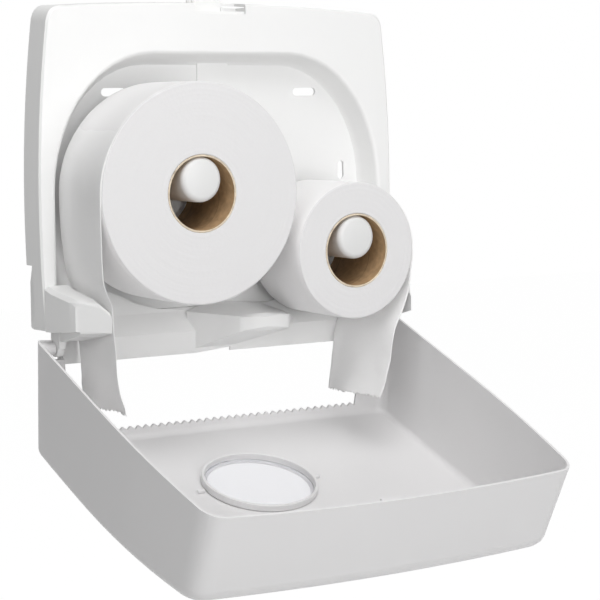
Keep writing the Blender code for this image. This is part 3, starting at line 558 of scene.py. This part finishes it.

# %% [markdown]
# ## The latch spring
#
# The spring stands on the housing under the latch and gets shorter when the latch goes down.
# A solid that rides on a body could only move as a whole, so the spring is a copy that stays
# on the root body, with a mesh of its own.

spring = softened_copy("latch_spring", "root", steel)
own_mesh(spring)

# %% [markdown]
# ## Tissue
#
# Toilet tissue is soft and quite matt, with tiny fibres and an embossed dimple every few
# millimetres. The end of a roll is different: it shows the cut edges of hundreds of layers,
# which swallow some light between them, so it is a shade darker than the sheet itself. The
# roll's side is given a lighter tone than the ends, partly for that and partly as painted light
# on the side, and the hanging sheet is lighter again, which is painted light too. A single
# hanging sheet also lets light through, which a little subsurface scattering gives, and the
# fluff on the paper brightens it at a flat angle, which is what sheen is for.

# %% Mix the tissue materials
glow_depth = 0.002
fibre_waves = 700.0
fibre_detail = 4.0
fibre_shade = 0.965
dimples_to_the_metre = 230.0
dimple_strength = 0.5
dimple_depth = 0.00012


def tissue_paper(name, colour, glow_through=0.0):
    material, tree, shader, place = fresh_material(name)
    shader.inputs["Subsurface Weight"].default_value = glow_through
    shader.inputs["Subsurface Radius"].default_value = (1, 1, 1)
    shader.inputs["Subsurface Scale"].default_value = glow_depth
    shader.inputs["Specular IOR Level"].default_value = 0.45
    shader.inputs["Roughness"].default_value = 0.95
    shader.inputs["Sheen Weight"].default_value = 0.8
    fibre = noise_at(tree, place, fibre_waves, fibre_detail)
    tone = tone_between(tree, fibre, shaded(colour, fibre_shade), colour)
    tree.links.new(tone, shader.inputs["Base Color"])
    dimples = tree.nodes.new("ShaderNodeTexVoronoi")
    dimples.inputs["Scale"].default_value = dimples_to_the_metre
    tree.links.new(place, dimples.inputs["Vector"])
    lift = tree.nodes.new("ShaderNodeMath")
    lift.operation = "ADD"
    tree.links.new(fibre, lift.inputs[0])
    tree.links.new(dimples.outputs["Distance"], lift.inputs[1])
    tip_surface(tree, shader, lift.outputs[0], dimple_strength, dimple_depth)
    return material


cut_tissue = tissue_paper("cut_tissue", (0.765, 0.758, 0.762))
# The side's tissue is lighter than the ends' tissue; that extra lightness is partly painted light on
# the roll's side.
side_tissue_with_painted_light = tissue_paper("side_tissue_with_painted_light", (0.92, 0.91, 0.91))
# The hanging sheet is the same paper as the roll; its near-white tone is painted light.
tail_tissue_painted_light = tissue_paper("tail_tissue_painted_light", (0.98, 0.975, 0.97), glow_through=0.35)
print("tissue materials:", [item.name for item in (cut_tissue, side_tissue_with_painted_light, tail_tissue_painted_light)])

# %% [markdown]
# ## The wound rolls
#
# A roll is one long sheet wound on a core, so its ends are not flat discs: the layers' cut
# edges stand a little higher or lower than each other. A radial line with small random steps
# is drawn and spun once round the roll's axis. The steps go inwards only, so that the roll
# keeps the size of the solid that it stands for.

# %% Spin an outline round a level axis
axis_of_rolls = Vector((0, 1, 0))
seam_distance = 0.000005


def spun_about_axis(name, outline, centre, steps):
    """Spin a closed line of (radius, y) points once round a level axis through a centre."""
    shape = bmesh.new()
    corners = [shape.verts.new((centre.x + radius, y, centre.z)) for radius, y in outline]
    lines = [shape.edges.new((a, b)) for a, b in zip(corners, corners[1:] + corners[:1])]
    bmesh.ops.spin(
        shape, geom=corners + lines, cent=centre, axis=axis_of_rolls, angle=2 * math.pi,
        steps=steps, use_merge=True,
    )
    bmesh.ops.remove_doubles(shape, verts=shape.verts, dist=seam_distance)
    bmesh.ops.recalc_face_normals(shape, faces=shape.faces)
    piece = new_piece(name, shape)
    piece.data.shade_smooth()
    return piece


# %% Draw the outline of a roll
core_outer_radius = 0.040
core_gap = 0.0003
layers_shown = 64
layers_depth = 0.075
layer_step = 0.00018
shoulder = 0.0012
shoulder_drop = 0.0003
shoulder_depth = 0.0009
side_rows = 12
side_step = 0.00025


def roll_outline(low, high, radius, draw):
    """Points of (radius, y) up the front end, along the side and down the back end."""
    bore = core_outer_radius + core_gap
    count = round(layers_shown * (radius - bore) / layers_depth)
    front, back = [], []
    for layer in range(count + 1):
        reach = bore + (radius - shoulder - bore) * layer / count
        front.append((reach, low.y + layer_step * draw.random()))
        back.append((reach, high.y - layer_step * draw.random()))
    side = [(radius - shoulder_drop, low.y + shoulder_depth)]
    for row in range(1, side_rows):
        y = low.y + shoulder + (high.y - low.y - 2 * shoulder) * row / side_rows
        side.append((radius - side_step * draw.random(), y))
    side.append((radius - shoulder_drop, high.y - shoulder_depth))
    return front + side + back[::-1]


# %% Wind the two rolls
winding_steps = 160
end_facing = 0.5


def wound_roll(node, body, seed):
    """Dress a roll, and return the middle of its axis and its radius."""
    low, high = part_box(node)
    centre = Vector(((low.x + high.x) / 2, 0, (low.z + high.z) / 2))
    radius = (high.x - low.x) / 2
    outline = roll_outline(low, high, radius, random.Random(seed))
    roll = spun_about_axis(node + "_wound", outline, centre, winding_steps)
    # The ends get the darker cut tissue and the side the lighter tissue, whose extra lightness is
    # partly painted light.
    roll.data.materials.append(cut_tissue)
    roll.data.materials.append(side_tissue_with_painted_light)
    for face in roll.data.polygons:
        face.material_index = 0 if abs(face.normal.y) > end_facing else 1
    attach(roll, body)
    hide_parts(node)
    print(roll.name, "outline points:", len(outline), "radius:", round(radius, 4))
    return centre, radius


left_axis, left_radius = wound_roll("left_roll", "left_roll_body", seed=3)
right_axis, right_radius = wound_roll("right_roll", "right_roll_body", seed=8)

# %% [markdown]
# ## The cardboard cores
#
# A core is two or three strips of brown card wound in a spiral and glued, so a fine seam runs
# round inside it like the stripe of a barber's pole. Its cut ends are paler than its face.
# The angle round the axis plus a share of the depth gives the seam.

# %% Let a seam climb round the axis
seam_pitch = 0.055
seam_width_share = 0.03
seam_tone = (0.62, 0.62, 0.62)


def spiral_seam(tree, place, centre):
    """A colour that is dark along one spiral line round the axis and white elsewhere."""
    turn = tree.nodes.new("ShaderNodeMapping")
    turn.vector_type = "POINT"
    turn.inputs["Rotation"].default_value = (math.pi / 2, 0, 0)
    turn.inputs["Location"].default_value = (-centre.x, centre.z, 0)
    tree.links.new(place, turn.inputs["Vector"])
    round_the_axis = tree.nodes.new("ShaderNodeTexGradient")
    round_the_axis.gradient_type = "RADIAL"
    tree.links.new(turn.outputs["Vector"], round_the_axis.inputs["Vector"])
    depth = tree.nodes.new("ShaderNodeSeparateXYZ")
    tree.links.new(turn.outputs["Vector"], depth.inputs[0])
    climb = tree.nodes.new("ShaderNodeMath")
    climb.operation = "MULTIPLY_ADD"
    climb.inputs[1].default_value = 1 / seam_pitch
    tree.links.new(depth.outputs["Z"], climb.inputs[0])
    tree.links.new(round_the_axis.outputs["Fac"], climb.inputs[2])
    lap = tree.nodes.new("ShaderNodeMath")
    lap.operation = "FRACT"
    tree.links.new(climb.outputs[0], lap.inputs[0])
    return tone_between(tree, lap.outputs[0], seam_tone, (1, 1, 1), (0.0, seam_width_share))


# %% Mix the card
pulp_waves = 160.0
pulp_detail = 8.0
pulp_ends = (0.3, 0.7)
pulp_dark = 0.78
pulp_light = 1.1
pulp_strength = 0.4
pulp_depth = 0.0001


def card_paper(name, colour, centre):
    material, tree, shader, place = fresh_material(name)
    shader.inputs["Roughness"].default_value = 0.8
    shader.inputs["Specular IOR Level"].default_value = 0.25
    pulp = noise_at(tree, place, pulp_waves, pulp_detail)
    tone = tone_between(tree, pulp, shaded(colour, pulp_dark), shaded(colour, pulp_light), pulp_ends)
    seamed = tree.nodes.new("ShaderNodeMix")
    seamed.data_type = "RGBA"
    seamed.blend_type = "MULTIPLY"
    seamed.inputs["Factor"].default_value = 1.0
    tree.links.new(tone, seamed.inputs["A"])
    tree.links.new(spiral_seam(tree, place, centre), seamed.inputs["B"])
    tree.links.new(seamed.outputs["Result"], shader.inputs["Base Color"])
    tip_surface(tree, shader, pulp, pulp_strength, pulp_depth)
    return material


# %% Wind the cores
core_wall = 0.002
core_lip = 0.0003
core_steps = 96
core_sharp_angle = math.radians(50)
card_brown = (0.40, 0.262, 0.142)
cut_edge_brown = (0.74, 0.64, 0.50)


def wound_core(node, body, centre):
    low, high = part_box(node)
    outer = (high.x - low.x) / 2
    inner = outer - core_wall
    outline = [
        (inner + core_lip, low.y), (outer - core_lip, low.y),
        (outer, low.y + core_lip), (outer, high.y - core_lip),
        (outer - core_lip, high.y), (inner + core_lip, high.y),
        (inner, high.y - core_lip), (inner, low.y + core_lip),
    ]
    core = spun_about_axis(node + "_wound", outline, centre, core_steps)
    core.data.materials.append(card_paper(node + "_card", card_brown, centre))
    core.data.materials.append(card_paper(node + "_cut_edge", cut_edge_brown, centre))
    for face in core.data.polygons:
        face.material_index = 1 if abs(face.normal.y) > end_facing else 0
    core.data.set_sharp_from_angle(angle=core_sharp_angle)
    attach(core, body)
    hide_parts(node)
    print(core.name, "outer radius:", round(outer, 4))


wound_core("left_core", "left_roll_body", left_axis)
wound_core("right_core", "right_roll_body", right_axis)

# %% [markdown]
# ## The hanging paper
#
# The free end of each sheet leaves the side of its roll, slips over the guide arm, drifts
# inwards under its own curl and ends in the ragged line left by the teeth. Tissue is too
# light for a simulation to add much here, so the sheet starts as a flat grid and each point
# is moved: its row follows the fall of the paper, and its column runs from the wall side to
# the front. The first rows still lie on the roll, where they sink into its surface, so that
# no edge shows there. Soft waves grow towards the free end, and the last row is torn.

# %% Write down how the two tails fall
# Each row: how far down, back edge's drift, front edge's drift. 0 to 1 is the fall from the
# roll's axis to the arm's top, and 1 to 2 the fall from there to the torn end.
left_tail_shares = (
    (0.000, 0.000, 0.000), (0.306, 0.011, 0.000), (0.573, 0.094, 0.008), (0.776, 0.189, 0.030),
    (0.925, 0.309, 0.075), (1.039, 0.464, 0.225), (1.134, 0.464, 0.415), (1.236, 0.458, 0.440),
    (1.354, 0.585, 0.472), (1.512, 0.743, 0.547), (1.709, 0.785, 0.611), (1.890, 0.800, 0.830),
    (2.000, 0.811, 1.000),
)
right_tail_shares = (
    (0.000, 0.000, 0.000), (0.283, 0.004, 0.002), (0.585, 0.024, 0.016), (0.925, 0.063, 0.043),
    (1.073, 0.143, 0.065), (1.168, 0.290, 0.114), (1.314, 0.565, 0.271), (1.474, 0.761, 0.476),
    (1.708, 0.869, 0.584), (1.898, 0.957, 0.712), (2.000, 1.000, 0.829),
)
arm_top_height = -0.105
left_end_height = -0.232
right_end_height = -0.242
left_drift = 0.0265
right_drift = 0.0510
tail_gap = 0.0007


def fall_points(roll_axis, roll_radius, side, end, drift, shares):
    """Rows of height, back edge's x and front edge's x, from the roll's side to the torn end."""
    start = roll_axis.x + side * (roll_radius + tail_gap)
    rows = []
    for down, back, front in shares:
        upper = min(down, 1)
        height = roll_axis.z + (arm_top_height - roll_axis.z) * upper
        height += (end - arm_top_height) * (down - upper)
        rows.append((height, start - side * drift * back, start - side * drift * front))
    return rows


left_fall = fall_points(left_axis, left_radius, -1, left_end_height, left_drift, left_tail_shares)
right_fall = fall_points(
    right_axis, right_radius, 1, right_end_height, right_drift, right_tail_shares,
)
print("rows of the falls:", len(left_fall), len(right_fall))


# %% Smooth the fall between its rows
def along_fall(rows, share):
    """The height and the two edges' places at a share of the fall, on a smooth curve."""
    place = share * (len(rows) - 1)
    index = min(int(place), len(rows) - 2)
    local = place - index
    near = [rows[min(max(index + offset, 0), len(rows) - 1)] for offset in (-1, 0, 1, 2)]
    return [
        0.5 * (2 * b + (c - a) * local + (2 * a - 5 * b + 4 * c - d) * local ** 2
               + (3 * b - a - 3 * c + d) * local ** 3)
        for a, b, c, d in zip(*near)
    ]


print("left tail halfway down:", [round(value, 4) for value in along_fall(left_fall, 0.5)])

# %% Measure the paper from the roll to the torn end
wrap_angle = math.radians(40)
measuring_steps = 60


def paper_length(rows, roll_radius):
    """The stretch that lies on the roll and the fall below it, along the back edge."""
    stations = [along_fall(rows, step / measuring_steps) for step in range(measuring_steps + 1)]
    length = roll_radius * wrap_angle
    for upper, lower in zip(stations, stations[1:]):
        length += math.hypot(lower[0] - upper[0], lower[1] - upper[1])
    return length


print("left paper, metres:", round(paper_length(left_fall, left_radius), 4))

# %% Place a point of the sheet
tail_sink = 0.0014
wave_start_height = -0.145
wave_height = 0.0022
wave_count = 3
wave_shift = 1.2
crease_height = 0.0012
creases_across = 5
creases_down = 6


def point_on_roll(roll_axis, roll_radius, side, share):
    """The x and z where the sheet still lies on its roll, from its hidden start at share 1."""
    angle = wrap_angle * share
    reach = roll_radius + tail_gap - tail_sink * share ** 2
    return roll_axis.x + side * reach * math.cos(angle), roll_axis.z + reach * math.sin(angle)


def point_in_fall(rows, across, down, seed):
    """The x and z where the sheet hangs free, with its waves and creases."""
    height, back_x, front_x = along_fall(rows, down)
    free = max((wave_start_height - height) / (wave_start_height - rows[-1][0]), 0)
    wave = wave_height * free * math.sin(wave_count * math.pi * across + wave_shift * free)
    spot = Vector((across * creases_across, free * creases_down, seed))
    crease = crease_height * free * noise.noise(spot)
    return back_x + (front_x - back_x) * across + wave + crease, height


# %% Shape the sheet from a flat grid
tail_columns = 48
tail_rows = 130
rows_on_roll = 14
torn_depth = 0.0016


def shaped_sheet(rows, roll_axis, roll_radius, side, seed, back, front):
    draw = random.Random(seed)
    torn = [draw.uniform(-torn_depth, torn_depth) for _ in range(tail_columns + 1)]
    shape = bmesh.new()
    bmesh.ops.create_grid(shape, x_segments=tail_columns, y_segments=tail_rows, size=0.5)
    for corner in shape.verts:
        across = corner.co.x + 0.5
        row = round((0.5 - corner.co.y) * tail_rows)
        if row < rows_on_roll:
            x, z = point_on_roll(roll_axis, roll_radius, side, 1 - row / rows_on_roll)
        else:
            down = (row - rows_on_roll) / (tail_rows - rows_on_roll)
            x, z = point_in_fall(rows, across, down, seed)
        if row == tail_rows:
            z += torn[round(across * tail_columns)]
        corner.co = (x, back + (front - back) * across, z)
    return shape


# %% Hang the two tails
tail_ply = 0.0005
tail_margin = 0.0004


def hanging_tail(node, rows, roll_axis, roll_radius, side, seed):
    low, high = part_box(node)
    front, back = low.y + tail_margin, high.y - tail_margin
    run = paper_length(rows, roll_radius)
    shape = shaped_sheet(rows, roll_axis, roll_radius, side, seed, back, front)
    tail = new_piece(node + "_sheet", shape)
    tail.data.shade_smooth()
    # The sheet's near-white tone is painted light.
    tail.data.materials.append(tail_tissue_painted_light)
    ply = tail.modifiers.new("ply", "SOLIDIFY")
    ply.thickness = tail_ply
    ply.offset = 0
    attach(tail, "root")
    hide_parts(node)


hanging_tail("left_tail", left_fall, left_axis, left_radius, side=-1, seed=5)
hanging_tail("right_tail", right_fall, right_axis, right_radius, side=1, seed=9)
